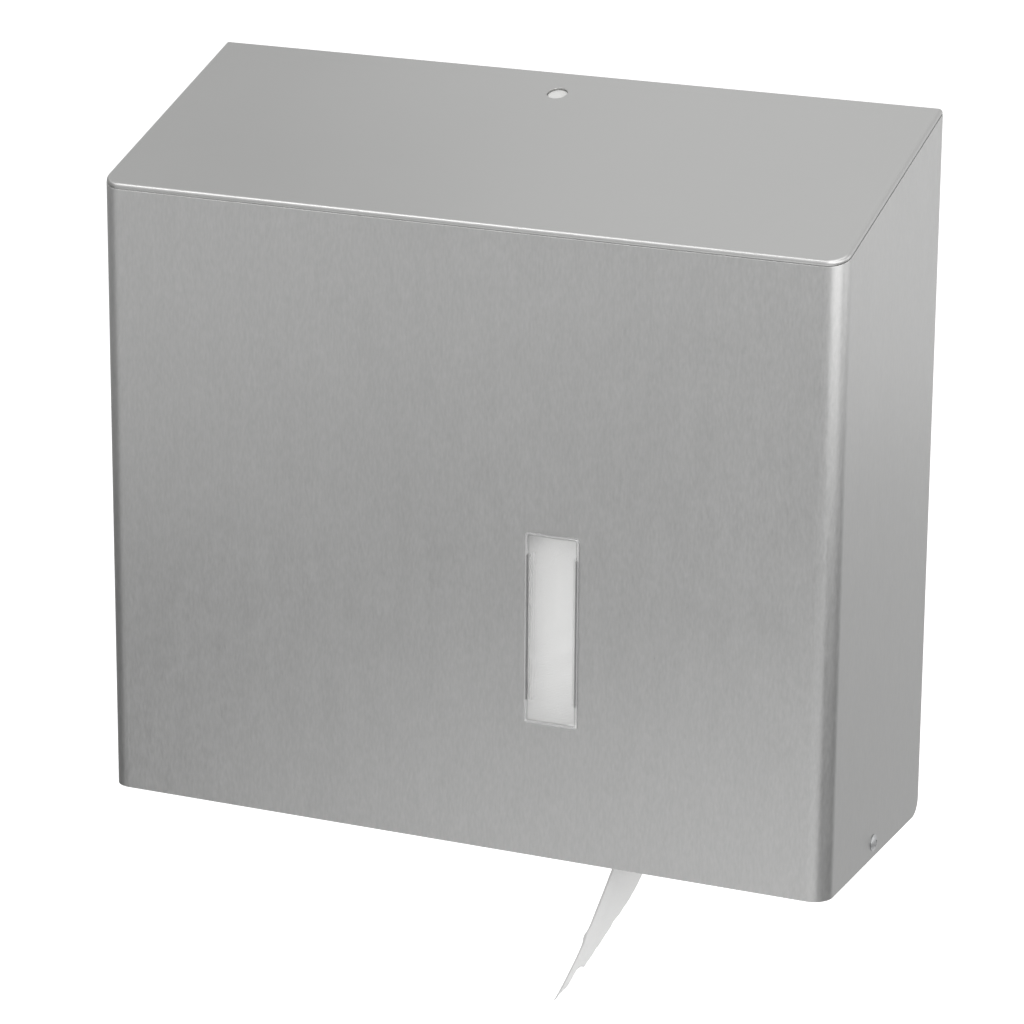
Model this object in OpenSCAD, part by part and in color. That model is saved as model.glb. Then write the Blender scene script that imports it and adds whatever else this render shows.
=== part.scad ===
// Jumbo toilet roll dispenser for wall mounting.
// A folded steel cover with a sloping cap hinges forward on two rivets at the foot of a
// wall plate. The wall plate carries the roll spindle, the tear bars and a sprung catch.
// X is to the viewer's right, the front faces -Y and Z is up. Each piece is drawn with Z
// counted from the bottom edge of the cover, then lowered by in_frame(), so the origin is
// the middle of the four wall screws, on the wall.

/* [Cover] */
// Outside width of the cover
cover_w = 372; // [360:1:400]
// Depth from the wall to the front face
cover_d = 131; // [130:1:140]
// Height of the cover at the wall
rear_h = 347; // [345:1:360]
// Height of the top front edge
front_h = 302.5; // [300:0.5:310]
// Thickness of the steel sheet
sheet_t = 1; // [0.8:0.1:1.2]
// Outside radius of the two upright bends
bend_r = 9.5; // [8:0.5:12]
// Outside radius of the bend along the front of the cap
rim_r = 1.8; // [1.5:0.1:2]
// Height of the rim that the cap turns down over the front
rim_h = 2.4; // [2.2:0.1:3]
// Radius of the lower rear corners, which clears the wall as the cover swings
heel_r = 8; // [8:0.5:12]
// Depth of the stiffening hem along the foot of the front
hem_d = 10; // [6:1:11]
// Diameter of the key hole in the cap
key_d = 10; // [8:0.5:12]
// Distance of the key hole from the rear edge, along the slope
key_s = 19.5; // [18:0.5:21]

/* [Level window] */
// Width of the clear insert
window_w = 27.4; // [24:0.2:30]
// Height of the clear insert
window_h = 93.4; // [90:0.2:100]
// Middle of the insert, to the right of the middle of the cover
window_x = 48; // [40:1:60]
// Middle of the insert above the bottom edge
window_z = 112.7; // [100:0.1:125]

/* [Hinge] */
// Distance of the hinge line from the wall
pivot_y = 66; // [64:1:68]
// Height of the hinge line
pivot_z = 7.5; // [7.5:0.5:9]
// Angle at which the cover reaches its stops
open_angle = 90; // [80:1:92]

/* [Wall plate] */
// Thickness of the wall plate
plate_t = 1.5; // [1.2:0.1:2]
// Distance between the wall screws across
screw_dx = 290; // [250:5:300]
// Distance between the wall screws up the wall
screw_dz = 220; // [180:5:230]
// Height of the middle of the wall screws
screw_mid_z = 175; // [170:1:180]
// Diameter of the wall screw holes
screw_d = 7; // [5:0.5:8]

/* [Roll] */
// Outside diameter of the roll
roll_d = 248; // [180:1:250]
// Width of the paper
paper_w = 98; // [90:1:98]
// Outside diameter of the cardboard core
core_d = 62; // [60:1:64]
// Height of the spindle
spindle_z = 170; // [168:1:172]
// Distance from the wall to the rear of the roll
roll_y = 14; // [14:1:14]

/* [Hidden] */
$fn = 64;

eps = 0.01;
steel = [0.72, 0.73, 0.73];
zinc = [0.62, 0.63, 0.65];
white = [0.93, 0.93, 0.92];
grey = [0.55, 0.56, 0.57];

// Cover
half_w = cover_w / 2;
slope_a = atan((rear_h - front_h) / cover_d);
rim_out = 0.5;
rim_in = 0.3;
rim_half = half_w - rim_in;
cap_len = cover_d / cos(slope_a) + rim_out;
wall_gap = 0.6;
cap_rear = wall_gap + 0.3;
seam = 0.12;
flange_h = 12;
hole_clear = 0.05;

// Clear insert: its flange laps over the metal round the hole, and carries a raised bead
window_end_lap = 0.8;
window_side_lap = 2;
window_wide_lap = 0.6;
window_wide_h = 10.4;
window_fit = 0.15;
window_face_t = 0.45;
window_corner_r = 1.8;
bead_in = 0.2;
bead_w = 0.7;
bead_h = 0.3;

// Hinge stack on each side, from the outside inwards
rivet_r = 2;
rivet_head_r = 4;
rivet_head_h = 1.6;
small_rivet_r = 1.6;
hinge_plate_t = 1.2;
washer_t = 0.7;
stack_gap = 0.05;
side_in = half_w - sheet_t;
hinge_plate_x = side_in - hinge_plate_t;
washer_x = hinge_plate_x - stack_gap - washer_t;
ear_x = washer_x - stack_gap - plate_t;
ear_nose_r = 7;
stop_r1 = 10;
stop_r2 = 17;
stop_t = 1.5;

// Wall plate
plate_half = 176;
plate_foot = 3;
plate_top = 330;
plate_flange = 9;
plate_bend = 2.5;
ear_root_h = 80;
corner_cut = 22;

// Spindle and hub, measured along the spindle from the wall
axle_r = 6;
cup_top = 10;
cup_rivet_at = 41;
hub_back = 11.2;
hub_flange_t = 2;
hub_flange_r = 46;
hub_front = 113;
hub_ring_r = core_d / 2 - 2.1;
hub_wall = 1.9;
hub_tube_r = 9.5;
hub_ribs = 6;
hub_hole_r = 5;
hub_hole_at = 37;
finger_half = 14;
clip_y = 114.3;
axle_end = 118;
roll_front = roll_y + paper_w;
roll_r = roll_d / 2;

// Lock, under the key hole
lock_y = 16;
lock_travel = 6;
lock_foot = 298;
lock_top = 326;
lock_half = 20.5;
lock_wall = 2.8;
lock_back = 6.2;
lock_front = 25.2;
lock_depth = 28;
lock_slack = 0.3;
lock_lug_z = lock_foot + 13.2;
lock_lug_h = 6;
lock_screw_x = 27;
lock_screw_z = lock_foot + 11;
lock_screw_r = 2;
nose_z = 337.5;
lip_y = 8;
lip_t = 1.2;
lip_foot = 332;
pad_half = 8;
pad_drop = 2.6;
arm_in = 8.5;
arm_out = 16;
spring_r = 4;
spring_wire = 0.8;
spring_turns = 7;
spring_end_pitch = 1.5;
spring_foot = 301.4;
spring_head = 319.6;

// Paper tail: leaves the roll on its right and hangs below the cover
tail_gap = 0.6;
tail_t = 0.5;
tail_lean = 18.25;
tail_drop = 138;
tail_curl_start = 16;
tail_curl_len = 86;
tail_curl_lean = 26;
tail_tear = [[0, 2], [8, -2], [16, -7], [24, -14], [31, -22], [36.5, -31], [38.5, -39], [41.5, -47],
             [47.5, -52], [54, -54], [59.5, -60], [64, -64], [65.5, -67.5], [69.5, -71],
             [70.5, -73], [79, -69.7], [82.5, -71], [83.5, -79], [98, -88]];

// Tear bars
tear_x = 84.4;
tear_t = 1.2;
tear_foot = 3;
tear_top = 24;
tooth = 4;
tear_teeth = 26;
tear_rivet_z = 12;
tear_rivet_x = [93, 101];

// Height of the outer face of the cap, y mm in front of the wall
function cap_z(y) = rear_h - y * tan(slope_a);

module in_frame() {
    translate([0, 0, -screw_mid_z])
        children();
}

// Lays a shape drawn on the XY plane onto the sloping cap, with Z square to the cap
module on_cap() {
    translate([0, 0, rear_h])
        rotate([slope_a, 0, 0])
            children();
}

// Extrudes a profile drawn as (Y, Z) along X, from x to x + len
module along_x(x, len) {
    translate([x, 0, 0])
        rotate([90, 0, 90])
            linear_extrude(len)
                children();
}

// Turns a shape drawn up the Z axis so that it points out of the wall, at a height z
module out_of_wall(x, z) {
    translate([x, 0, z])
        rotate([90, 0, 0])
            children();
}

// Lays a shape drawn up the Z axis along +X from x, on the hinge line
module on_hinge(x) {
    translate([x, -pivot_y, pivot_z])
        rotate([0, 90, 0])
            children();
}

module mirrored(left) {
    mirror([left ? 1 : 0, 0, 0])
        children();
}

// A rectangle from y_rear to y_front with its two front corners rounded
module front_rounded(half, y_front, y_rear, r) {
    translate([-half, -y_front + r])
        square([2 * half, y_front - r - y_rear]);
    translate([-half + r, -y_front])
        square([2 * (half - r), r + eps]);
    for (side = [-1, 1])
        translate([side * (half - r), -y_front + r])
            circle(r);
}

module ring(r_out, r_in, len) {
    linear_extrude(len)
        difference() {
            circle(r_out);
            circle(r_in);
        }
}

// ---- Cover ----

// The folded front and sides: one sheet with two upright bends
module wrap_sheet() {
    linear_extrude(rear_h)
        difference() {
            front_rounded(half_w, cover_d, wall_gap, bend_r);
            front_rounded(half_w - sheet_t, cover_d - sheet_t, -1, bend_r - sheet_t);
        }
}

// All that lies above the top edge of the folded sheet, just under the cap's rim
module above_wrap() {
    on_cap()
        translate([-half_w - 1, -cap_len - 40, -rim_h - seam])
            cube([cover_w + 2, cap_len + 60, 80]);
}

// The part of a square corner that a round corner leaves out
module heel_cut() {
    along_x(-half_w - 1, cover_w + 2)
        translate([-wall_gap - heel_r, heel_r])
            difference() {
                translate([0, -heel_r - 1])
                    square([heel_r + 1, heel_r + 1]);
                circle(heel_r);
            }
}

// The hole behind the clear insert: wide at both ends, narrow between the snap ribs.
// fit makes it that much smaller on every side.
module window_hole(fit) {
    narrow_w = window_w - 2 * window_side_lap;
    wide_w = window_w - 2 * window_wide_lap;
    long_h = window_h - 2 * window_end_lap;
    square([narrow_w - 2 * fit, long_h - 2 * fit], center = true);
    for (side = [-1, 1])
        translate([0, side * (long_h - window_wide_h) / 2])
            square([wide_w - 2 * fit, window_wide_h - 2 * fit], center = true);
}

module place_window() {
    translate([window_x, 0, window_z])
        rotate([90, 0, 0])
            children();
}

module cover_shell() {
    color(steel)
        in_frame() {
            difference() {
                wrap_sheet();
                above_wrap();
                heel_cut();
                place_window()
                    translate([0, 0, cover_d - sheet_t - 1])
                        linear_extrude(sheet_t + 2)
                            window_hole(0);
                on_hinge(-half_w - 1)
                    cylinder(r = rivet_r + hole_clear, h = cover_w + 2);
            }
            hem();
        }
}

// The foot of the front, turned inwards
module hem() {
    fold_r = 1.6;
    run = 2 * (half_w - bend_r);
    along_x(-run / 2, run) {
        translate([-cover_d + fold_r, 0])
            square([hem_d - fold_r, sheet_t]);
        translate([-cover_d + fold_r, fold_r])
            intersection() {
                difference() {
                    circle(fold_r);
                    circle(fold_r - sheet_t);
                }
                translate([-fold_r, -fold_r])
                    square(fold_r + eps);
            }
    }
}

// Section of the bend and rim along the cap's front edge, about the centre of the bend
module rim_section() {
    intersection() {
        difference() {
            circle(rim_r);
            circle(rim_r - sheet_t);
        }
        square(rim_r + eps);
    }
    translate([rim_r - sheet_t, rim_r - rim_h])
        square([sheet_t, rim_h - rim_r]);
}

module cap_rim() {
    run = rim_half - bend_r;
    translate([0, -cap_len + rim_r, -rim_r])
        along_x(-run, 2 * run)
            mirror([1, 0])
                rim_section();
    for (left = [false, true])
        mirrored(left) {
            translate([run, -cap_len + bend_r, -rim_r])
                rotate([0, 0, -90])
                    rotate_extrude(angle = 90)
                        translate([bend_r - rim_r, 0])
                            rim_section();
            translate([rim_half - rim_r, -cap_rear, -rim_r])
                rotate([90, 0, 0])
                    linear_extrude(cap_len - bend_r - cap_rear)
                        rim_section();
        }
}

module cap_plate() {
    translate([0, 0, -sheet_t])
        linear_extrude(sheet_t)
            front_rounded(rim_half - rim_r, cap_len - rim_r, cap_rear, bend_r - rim_r);
}

// Flanges that turn down inside the sides, where the cap is welded in
module cap_side_flanges() {
    for (side = [-1, 1])
        translate([side > 0 ? side_in - sheet_t : -side_in, -cap_len + bend_r + 3, -sheet_t - flange_h])
            cube([sheet_t, cap_len - bend_r - 12, flange_h + sheet_t / 2]);
}

// Joggled flange behind the top of the front sheet
module cap_front_flange() {
    run = 2 * (half_w - bend_r - 4);
    translate([-run / 2, -cover_d + sheet_t, front_h - flange_h - 3])
        cube([run, sheet_t, flange_h + 2.6]);
}

module cover_cap() {
    color(steel)
        in_frame() {
            on_cap()
                difference() {
                    union() {
                        cap_plate();
                        cap_rim();
                        cap_side_flanges();
                    }
                    translate([0, -key_s, -sheet_t - 1])
                        cylinder(d = key_d, h = sheet_t + 2);
                }
            cap_front_flange();
        }
}

module rounded_rect(w, h, r) {
    square([w, h - 2 * r], center = true);
    square([w - 2 * r, h], center = true);
    for (sx = [-1, 1], sy = [-1, 1])
        translate([sx * (w / 2 - r), sy * (h / 2 - r)])
            circle(r);
}

// The outline of the insert's flange, drawn in by inset
module window_outline(inset) {
    rounded_rect(window_w - 2 * inset, window_h - 2 * inset, window_corner_r - inset);
}

// Clear insert: a thin flange with a bead outside, a block in the hole and two snap ribs
module window_insert() {
    rib_len = window_h - 22;
    rib_d = 3.4;
    rib_t = 1.2;
    hook = 0.8;
    rib_x = window_w / 2 - window_side_lap - window_fit;
    color([0.85, 0.88, 0.9, 0.5])
        in_frame()
            place_window() {
                translate([0, 0, cover_d])
                    linear_extrude(window_face_t)
                        window_outline(0);
                translate([0, 0, cover_d + window_face_t - eps])
                    linear_extrude(bead_h + eps)
                        difference() {
                            window_outline(bead_in);
                            window_outline(bead_in + bead_w);
                        }
                translate([0, 0, cover_d - sheet_t])
                    linear_extrude(sheet_t + eps)
                        window_hole(window_fit);
                for (side = [-1, 1])
                    mirror([side > 0 ? 0 : 1, 0, 0])
                        translate([rib_x, rib_len / 2, cover_d - sheet_t])
                            rotate([90, 0, 0])
                                linear_extrude(rib_len)
                                    polygon([[-rib_t, 0], [0, 0], [0, -window_fit],
                                             [hook, -window_fit - hook / 2],
                                             [0, -rib_d], [-rib_t, -rib_d]]);
            }
}

// Forked plate welded under the cap: two arms end in lips that hook behind the catch
module catch_plate() {
    base_half = arm_out + 2;
    base_y = 27;
    far_y = 38;
    lip_out = lip_y + lip_t;
    nick = 0.4;
    function top(y) = cap_z(y) - sheet_t / cos(slope_a);
    function under(y) = top(y) - lip_t / cos(slope_a);
    color(steel)
        in_frame()
            difference() {
                along_x(-base_half, 2 * base_half)
                    polygon([
                        [-far_y, under(far_y)], [-far_y, top(far_y)], [-lip_y, top(lip_y)],
                        [-lip_y, lip_foot], [-lip_out + nick, lip_foot], [-lip_out, lip_foot + nick],
                        [-lip_out, under(lip_out)]
                    ]);
                translate([-arm_in, -base_y, lip_foot - 1])
                    cube([2 * arm_in, base_y, rear_h - lip_foot]);
                for (side = [-1, 1])
                    translate([side > 0 ? arm_out : -arm_out - 10, -base_y, lip_foot - 1])
                        cube([10, base_y, rear_h - lip_foot]);
            }
}

// Plate welded inside the cover's side round the hinge hole, with the tab that stops the swing
module hinge_plate(left) {
    color(steel)
        in_frame()
            mirrored(left) {
                difference() {
                    along_x(hinge_plate_x, hinge_plate_t)
                        translate([-pivot_y, pivot_z + 6])
                            rounded_rect(30, 24, 4);
                    on_hinge(half_w - 10)
                        cylinder(r = rivet_r + hole_clear, h = 20);
                }
                translate([ear_x - 0.3, -pivot_y - stop_t / 2, pivot_z + stop_r1])
                    cube([hinge_plate_x - ear_x + 0.3 + eps, stop_t, stop_r2 - stop_r1 - 1]);
            }
}

// ---- Wall plate ----

module back_plate() {
    color(steel)
        in_frame()
            difference() {
                union() {
                    plate_sheet();
                    for (left = [false, true])
                        mirrored(left) {
                            plate_ear();
                            plate_side_flange();
                        }
                }
                for (x = [-1, 1], z = [-1, 1])
                    out_of_wall(x * screw_dx / 2, screw_mid_z + z * screw_dz / 2)
                        translate([0, 0, -1])
                            cylinder(d = screw_d, h = plate_t + 2);
                on_hinge(-half_w)
                    cylinder(r = rivet_r + hole_clear / 2, h = cover_w);
                for (p = spindle_rivet_places())
                    out_of_wall(p[0], spindle_z + p[1])
                        translate([0, 0, -1])
                            cylinder(r = rivet_r + hole_clear / 2, h = plate_t + 2);
                for (x = tear_rivet_x, side = [-1, 1])
                    out_of_wall(side * x, tear_rivet_z)
                        translate([0, 0, -1])
                            cylinder(r = small_rivet_r + hole_clear / 2, h = plate_t + 2);
                for (side = [-1, 1])
                    out_of_wall(side * lock_screw_x, lock_screw_z)
                        translate([0, 0, -1])
                            cylinder(r = lock_screw_r + hole_clear / 2, h = plate_t + 2);
            }
}

// Flat sheet against the wall, with chamfered upper corners and broad feet for the ears
module plate_sheet() {
    foot_half = ear_x + plate_t - plate_bend;
    top_half = plate_half - plate_bend;
    out_of_wall(0, 0)
        linear_extrude(plate_t)
            polygon([
                [-foot_half, plate_foot], [foot_half, plate_foot], [foot_half, ear_root_h],
                [top_half, ear_root_h + 8], [top_half, plate_top - corner_cut],
                [top_half - corner_cut, plate_top],
                [-top_half + corner_cut, plate_top], [-top_half, plate_top - corner_cut],
                [-top_half, ear_root_h + 8], [-foot_half, ear_root_h]
            ]);
}

// Quarter bend that turns the sheet forward, with its outer face at x, between two heights
module plate_fold(x, z1, z2) {
    translate([x - plate_bend, -plate_bend, z1])
        linear_extrude(z2 - z1)
            intersection() {
                difference() {
                    circle(plate_bend);
                    circle(plate_bend - plate_t);
                }
                square(plate_bend + eps);
            }
}

// Side ear, bent forward at the foot of the plate, with the lug that the stop tab meets
module plate_ear() {
    lug_drop = stop_t / 2 + 0.2;
    lug_h = pivot_z - lug_drop - 1;
    plate_fold(ear_x + plate_t, plate_foot, ear_root_h);
    along_x(ear_x, plate_t) {
        polygon([
            [-plate_bend, plate_foot], [-plate_bend, ear_root_h], [-plate_t - 6, ear_root_h],
            [-pivot_y + 8, pivot_z + ear_nose_r], [-pivot_y, pivot_z + ear_nose_r],
            [-pivot_y, 0.5], [-plate_bend - 4, 0.5]
        ]);
        translate([-pivot_y, pivot_z])
            circle(ear_nose_r);
        translate([-pivot_y, pivot_z])
            rotate(open_angle - 90)
                translate([-stop_r2, -lug_drop - lug_h])
                    square([stop_r2, lug_h]);
    }
}

// Stiffening flange along each upright edge of the plate
module plate_side_flange() {
    foot = ear_root_h + 12;
    top = plate_top - corner_cut - 12;
    chamfer = 4;
    plate_fold(plate_half, foot, top);
    along_x(plate_half - plate_t, plate_t)
        polygon([
            [-plate_bend, foot], [-plate_bend, top], [-plate_flange + chamfer, top],
            [-plate_flange, top - chamfer], [-plate_flange, foot + chamfer],
            [-plate_flange + chamfer, foot]
        ]);
}

// Domed blind rivet on the hinge line, pointing inwards from the head. The stub of its
// mandrel stands in the hole of the head.
module hinge_rivet(left) {
    rim = 0.35;
    crown = rivet_head_h - rim;
    dome_r = (rivet_head_r * rivet_head_r + crown * crown) / (2 * crown);
    head_x = half_w + stack_gap;
    stub_r = 1.05;
    hole_r = 1.55;
    color(zinc)
        in_frame()
            mirrored(left)
                difference() {
                    union() {
                        on_hinge(head_x)
                            intersection() {
                                translate([0, 0, rivet_head_h - dome_r])
                                    sphere(dome_r);
                                cylinder(r = rivet_head_r, h = rivet_head_h);
                            }
                        on_hinge(ear_x - 1)
                            cylinder(r = rivet_r, h = head_x - ear_x + 1 + eps);
                        on_hinge(ear_x - 4)
                            cylinder(r = 3.1, h = 4);
                    }
                    on_hinge(head_x + rivet_head_h - 0.8)
                        ring(hole_r, stub_r, 2);
                    on_hinge(head_x + rivet_head_h - 0.3)
                        cylinder(r = hole_r + eps, h = 2);
                }
}

module hinge_washer(left) {
    color(white)
        in_frame()
            mirrored(left)
                on_hinge(washer_x)
                    ring(6, rivet_r + hole_clear, washer_t);
}

// ---- Spindle ----

function spindle_rivet_places() = [for (a = [45 : 90 : 315]) cup_rivet_at * [cos(a), sin(a)]];

// Pressed steel hat that holds the axle off the wall plate
module spindle_cup() {
    color(steel)
        in_frame()
            out_of_wall(0, spindle_z)
                difference() {
                    rotate_extrude()
                        polygon([
                            [axle_r + hole_clear / 2, cup_top], [30, cup_top], [34, cup_top - 4],
                            [34, plate_t * 2], [48, plate_t * 2], [48, plate_t], [32.5, plate_t],
                            [32.5, cup_top - 4.6], [29.4, cup_top - 1.5],
                            [axle_r + hole_clear / 2, cup_top - 1.5]
                        ]);
                    for (p = spindle_rivet_places())
                        translate([p[0], p[1], 0])
                            cylinder(r = rivet_r + hole_clear / 2, h = 5);
                }
}

module dome_rivet(r, head_r, from, seat) {
    translate([0, 0, from])
        cylinder(r = r, h = seat - from + eps);
    translate([0, 0, seat])
        intersection() {
            translate([0, 0, 1.4 - head_r * 1.4])
                sphere(head_r * 1.4);
            cylinder(r = head_r, h = 1.4);
        }
}

module spindle_rivets() {
    color(zinc)
        in_frame()
            for (p = spindle_rivet_places())
                out_of_wall(p[0], spindle_z + p[1])
                    dome_rivet(rivet_r, 3.8, 0.2, 2 * plate_t);
}

// Steel pin with its riveted foot inside the cup and a groove for the clip
module roll_axle() {
    color(zinc)
        in_frame()
            out_of_wall(0, spindle_z)
                rotate_extrude()
                    polygon([
                        [0, cup_top - 4], [9, cup_top - 4], [9, cup_top - 1.5], [axle_r, cup_top - 1.5],
                        [axle_r, clip_y], [axle_r - 1, clip_y], [axle_r - 1, clip_y + 1.1],
                        [axle_r, clip_y + 1.1], [axle_r, axle_end - 1.5], [axle_r - 1.5, axle_end],
                        [0, axle_end]
                    ]);
}

module friction_washer() {
    color(grey)
        in_frame()
            out_of_wall(0, spindle_z)
                translate([0, 0, cup_top + stack_gap])
                    ring(14, axle_r + 0.3, hub_back - cup_top - 3 * stack_gap);
}

module thrust_washer() {
    color(zinc)
        in_frame()
            out_of_wall(0, spindle_z)
                translate([0, 0, hub_front + 2 * stack_gap])
                    ring(10, axle_r + 0.1, 1);
}

// Open spring clip that snaps into the groove
module axle_clip() {
    color(zinc)
        in_frame()
            out_of_wall(0, spindle_z)
                translate([0, 0, clip_y + stack_gap])
                    linear_extrude(1)
                        difference() {
                            circle(9);
                            circle(axle_r - 1);
                            translate([0, -7])
                                square([7, 14], center = true);
                            for (a = [30, 150])
                                rotate(a)
                                    translate([axle_r + 0.4, 0])
                                        circle(1.3);
                        }
}

// ---- Roll and hub ----

// Moulded hub that turns on the axle: a tube and a ring joined by ribs, a flange behind the
// roll, and three snap fingers that hold the core in front
module core_hub() {
    ring_front = roll_front - 2;
    hook_in = roll_front + 0.4;
    finger_in = hub_ring_r - hub_wall + 0.15;
    finger_out = hub_ring_r - 0.15;
    color(white)
        in_frame()
            out_of_wall(0, spindle_z) {
                difference() {
                    union() {
                        translate([0, 0, hub_back])
                            ring(hub_tube_r, axle_r + hole_clear, hub_front - hub_back);
                        translate([0, 0, roll_y - hub_flange_t])
                            ring(hub_flange_r, hub_tube_r - 1, hub_flange_t);
                        translate([0, 0, roll_y - eps])
                            ring(hub_ring_r, hub_ring_r - hub_wall, ring_front - roll_y);
                        for (i = [0 : hub_ribs - 1])
                            rotate(i * 360 / hub_ribs)
                                translate([hub_tube_r - 1, -0.9, roll_y - eps])
                                    cube([hub_ring_r - hub_tube_r, 1.8, ring_front - roll_y - 6]);
                    }
                    for (i = [0 : 2])
                        rotate(30 + i * 120)
                            finger_slots(ring_front);
                    for (i = [0 : hub_ribs - 1])
                        rotate((i + 0.5) * 360 / hub_ribs)
                            translate([hub_hole_at, 0, 0])
                                cylinder(r = hub_hole_r, h = 2 * roll_y);
                }
                for (i = [0 : 2])
                    rotate(30 + i * 120 - finger_half)
                        rotate_extrude(angle = 2 * finger_half)
                            polygon([
                                [finger_in, ring_front - 3], [finger_out, ring_front - 3],
                                [finger_out, hook_in], [finger_out + 2.3, hook_in],
                                [finger_out + 2.3, hook_in + 0.8], [finger_out - 0.6, hook_in + 4],
                                [finger_in, hook_in + 4]
                            ]);
            }
}

// Two slots that free a finger from the ring
module finger_slots(ring_front) {
    for (side = [-1, 1])
        rotate(side * (finger_half + 3))
            translate([hub_ring_r - 4, -1, ring_front - 30])
                cube([8, 2, 40]);
}

module roll_core() {
    color([0.72, 0.6, 0.45])
        in_frame()
            out_of_wall(0, spindle_z)
                translate([0, 0, roll_y])
                    ring(core_d / 2, core_d / 2 - 1.7, paper_w);
}

module paper_roll() {
    color([0.96, 0.96, 0.95])
        in_frame()
            out_of_wall(0, spindle_z)
                translate([0, 0, roll_y + 0.2])
                    ring(roll_r, core_d / 2 + 0.1, paper_w - 0.4);
}

// Lean of the tail from the upright, s mm along it below the bottom edge of the cover
function tail_angle(s) =
    let (part = max(0, s - tail_curl_start) / (tail_curl_len - tail_curl_start))
        tail_lean + (tail_curl_lean - tail_lean) * part;

// Points down the tail, stepped from the tangent point on the roll
function tail_points(p, s, step, stop) =
    s > stop ? [p] :
        let (a = tail_angle(s - tail_drop))
            concat([p], tail_points(p - step * [sin(a), cos(a)], s + step, step, stop));

// The free end of the paper: a thin sheet, torn off on a slant
module paper_tail() {
    r = roll_r + tail_gap;
    start = [r * cos(tail_lean), spindle_z - r * sin(tail_lean)];
    straight = tail_drop + tail_curl_start - 8;
    bend = start - straight * [sin(tail_lean), cos(tail_lean)];
    mid = concat([start], tail_points(bend, straight, 5, tail_drop + tail_curl_len - 1));
    side = tail_t / 2;
    n = len(mid) - 1;
    function across(i) =
        let (d = mid[min(n, i + 1)] - mid[max(0, i - 1)])
            side * [-d[1], d[0]] / norm(d);
    color([0.97, 0.97, 0.96])
        in_frame()
            intersection() {
                translate([0, -roll_y - 0.2, 0])
                    rotate([90, 0, 0])
                        linear_extrude(paper_w - 0.4)
                            polygon(concat(
                                [for (i = [0 : n]) mid[i] + across(i)],
                                [for (i = [n : -1 : 0]) mid[i] - across(i)]
                            ));
                along_x(20, 130)
                    polygon(concat(
                        [[-roll_front - 1, 200], [-roll_y + 1, 200]],
                        [for (p = tail_tear) [-roll_y - p[0] * paper_w / 98, p[1]]],
                        [[-roll_front - 1, -90]]
                    ));
            }
}

// ---- Catch ----

// Moulded housing screwed to the wall plate, open at the top
module lock_housing() {
    ear_half = 33;
    color(white)
        in_frame()
            difference() {
                union() {
                    translate([-lock_half, -lock_depth, lock_foot])
                        cube([2 * lock_half, lock_depth - plate_t, lock_top - lock_foot]);
                    translate([-ear_half, -plate_t - 3, lock_foot + 2])
                        cube([2 * ear_half, 3, 18]);
                }
                translate([-lock_half + lock_wall, -lock_front, lock_foot + 3])
                    cube([2 * (lock_half - lock_wall), lock_front - lock_back, 40]);
                translate([-lock_half - 1, -lock_y - 4, lock_lug_z - lock_travel - 0.2])
                    cube([2 * lock_half + 2, 8, lock_lug_h + lock_travel + 0.2 + lock_slack]);
                for (side = [-1, 1])
                    out_of_wall(side * lock_screw_x, lock_screw_z)
                        cylinder(r = lock_screw_r + 0.15, h = 10);
                translate([-10, -lock_depth - 1, lock_top - 9])
                    cube([20, 6, 10]);
            }
}

module lock_screws() {
    head_y = plate_t + 3;
    color(zinc)
        in_frame()
            for (side = [-1, 1])
                out_of_wall(side * lock_screw_x, lock_screw_z)
                    difference() {
                        union() {
                            translate([0, 0, 0.2])
                                cylinder(r = lock_screw_r, h = head_y);
                            translate([0, 0, head_y])
                                intersection() {
                                    cylinder(r = 3.8, h = 2.2);
                                    translate([0, 0, -3])
                                        sphere(5.3);
                                }
                        }
                        translate([0, 0, head_y + 1]) {
                            translate([-2.2, -0.5, 0])
                                cube([4.4, 1, 3]);
                            translate([-0.5, -2.2, 0])
                                cube([1, 4.4, 3]);
                        }
                    }
}

// Sprung slider: a pad under the key hole between two ramped noses that hold the lips
module lock_button() {
    body_half = lock_half - lock_wall - lock_slack;
    body_front = lock_front - lock_slack;
    body_back = lock_back + lock_slack;
    body_foot = lock_foot + 4.5 + lock_travel;
    pad_y1 = 8;
    pad_y2 = 24.8;
    pad_gap = sheet_t / cos(slope_a) + pad_drop;
    nose_y = lip_y + lip_t + lock_slack;
    bore_top = spring_head + spring_wire / 2 + 0.1;
    color(white)
        in_frame()
            difference() {
                union() {
                    translate([-body_half, -body_front, body_foot])
                        cube([2 * body_half, body_front - body_back, lock_top - body_foot]);
                    for (side = [-1, 1])
                        along_x(side > 0 ? arm_in : -arm_out, arm_out - arm_in)
                            polygon([
                                [-nose_y, lock_top - 1], [-nose_y, nose_z],
                                [-nose_y - 2, nose_z], [-body_front, lock_top + 1.5],
                                [-body_front, lock_top - 1]
                            ]);
                    along_x(-pad_half, 2 * pad_half)
                        polygon([
                            [-pad_y1, lock_top - 1], [-pad_y1, cap_z(pad_y1) - pad_gap],
                            [-pad_y2, cap_z(pad_y2) - pad_gap], [-pad_y2, lock_top - 1]
                        ]);
                    translate([-lock_half + 0.5, -lock_y - 3, lock_lug_z])
                        cube([2 * lock_half - 1, 6, lock_lug_h]);
                }
                translate([0, -lock_y, body_foot - 1])
                    cylinder(r = spring_r + 1.2, h = bore_top - body_foot + 1);
            }
}

// Height of the wire after a number of turns: the first and last turns lie close together
function spring_z(turn) =
    let (
        pitch = (spring_head - spring_foot - 2 * spring_end_pitch) / (spring_turns - 2),
        first = min(turn, 1) * spring_end_pitch,
        middle = min(max(turn - 1, 0), spring_turns - 2) * pitch,
        last = max(turn - spring_turns + 1, 0) * spring_end_pitch
    )
        spring_foot + first + middle + last;

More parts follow.
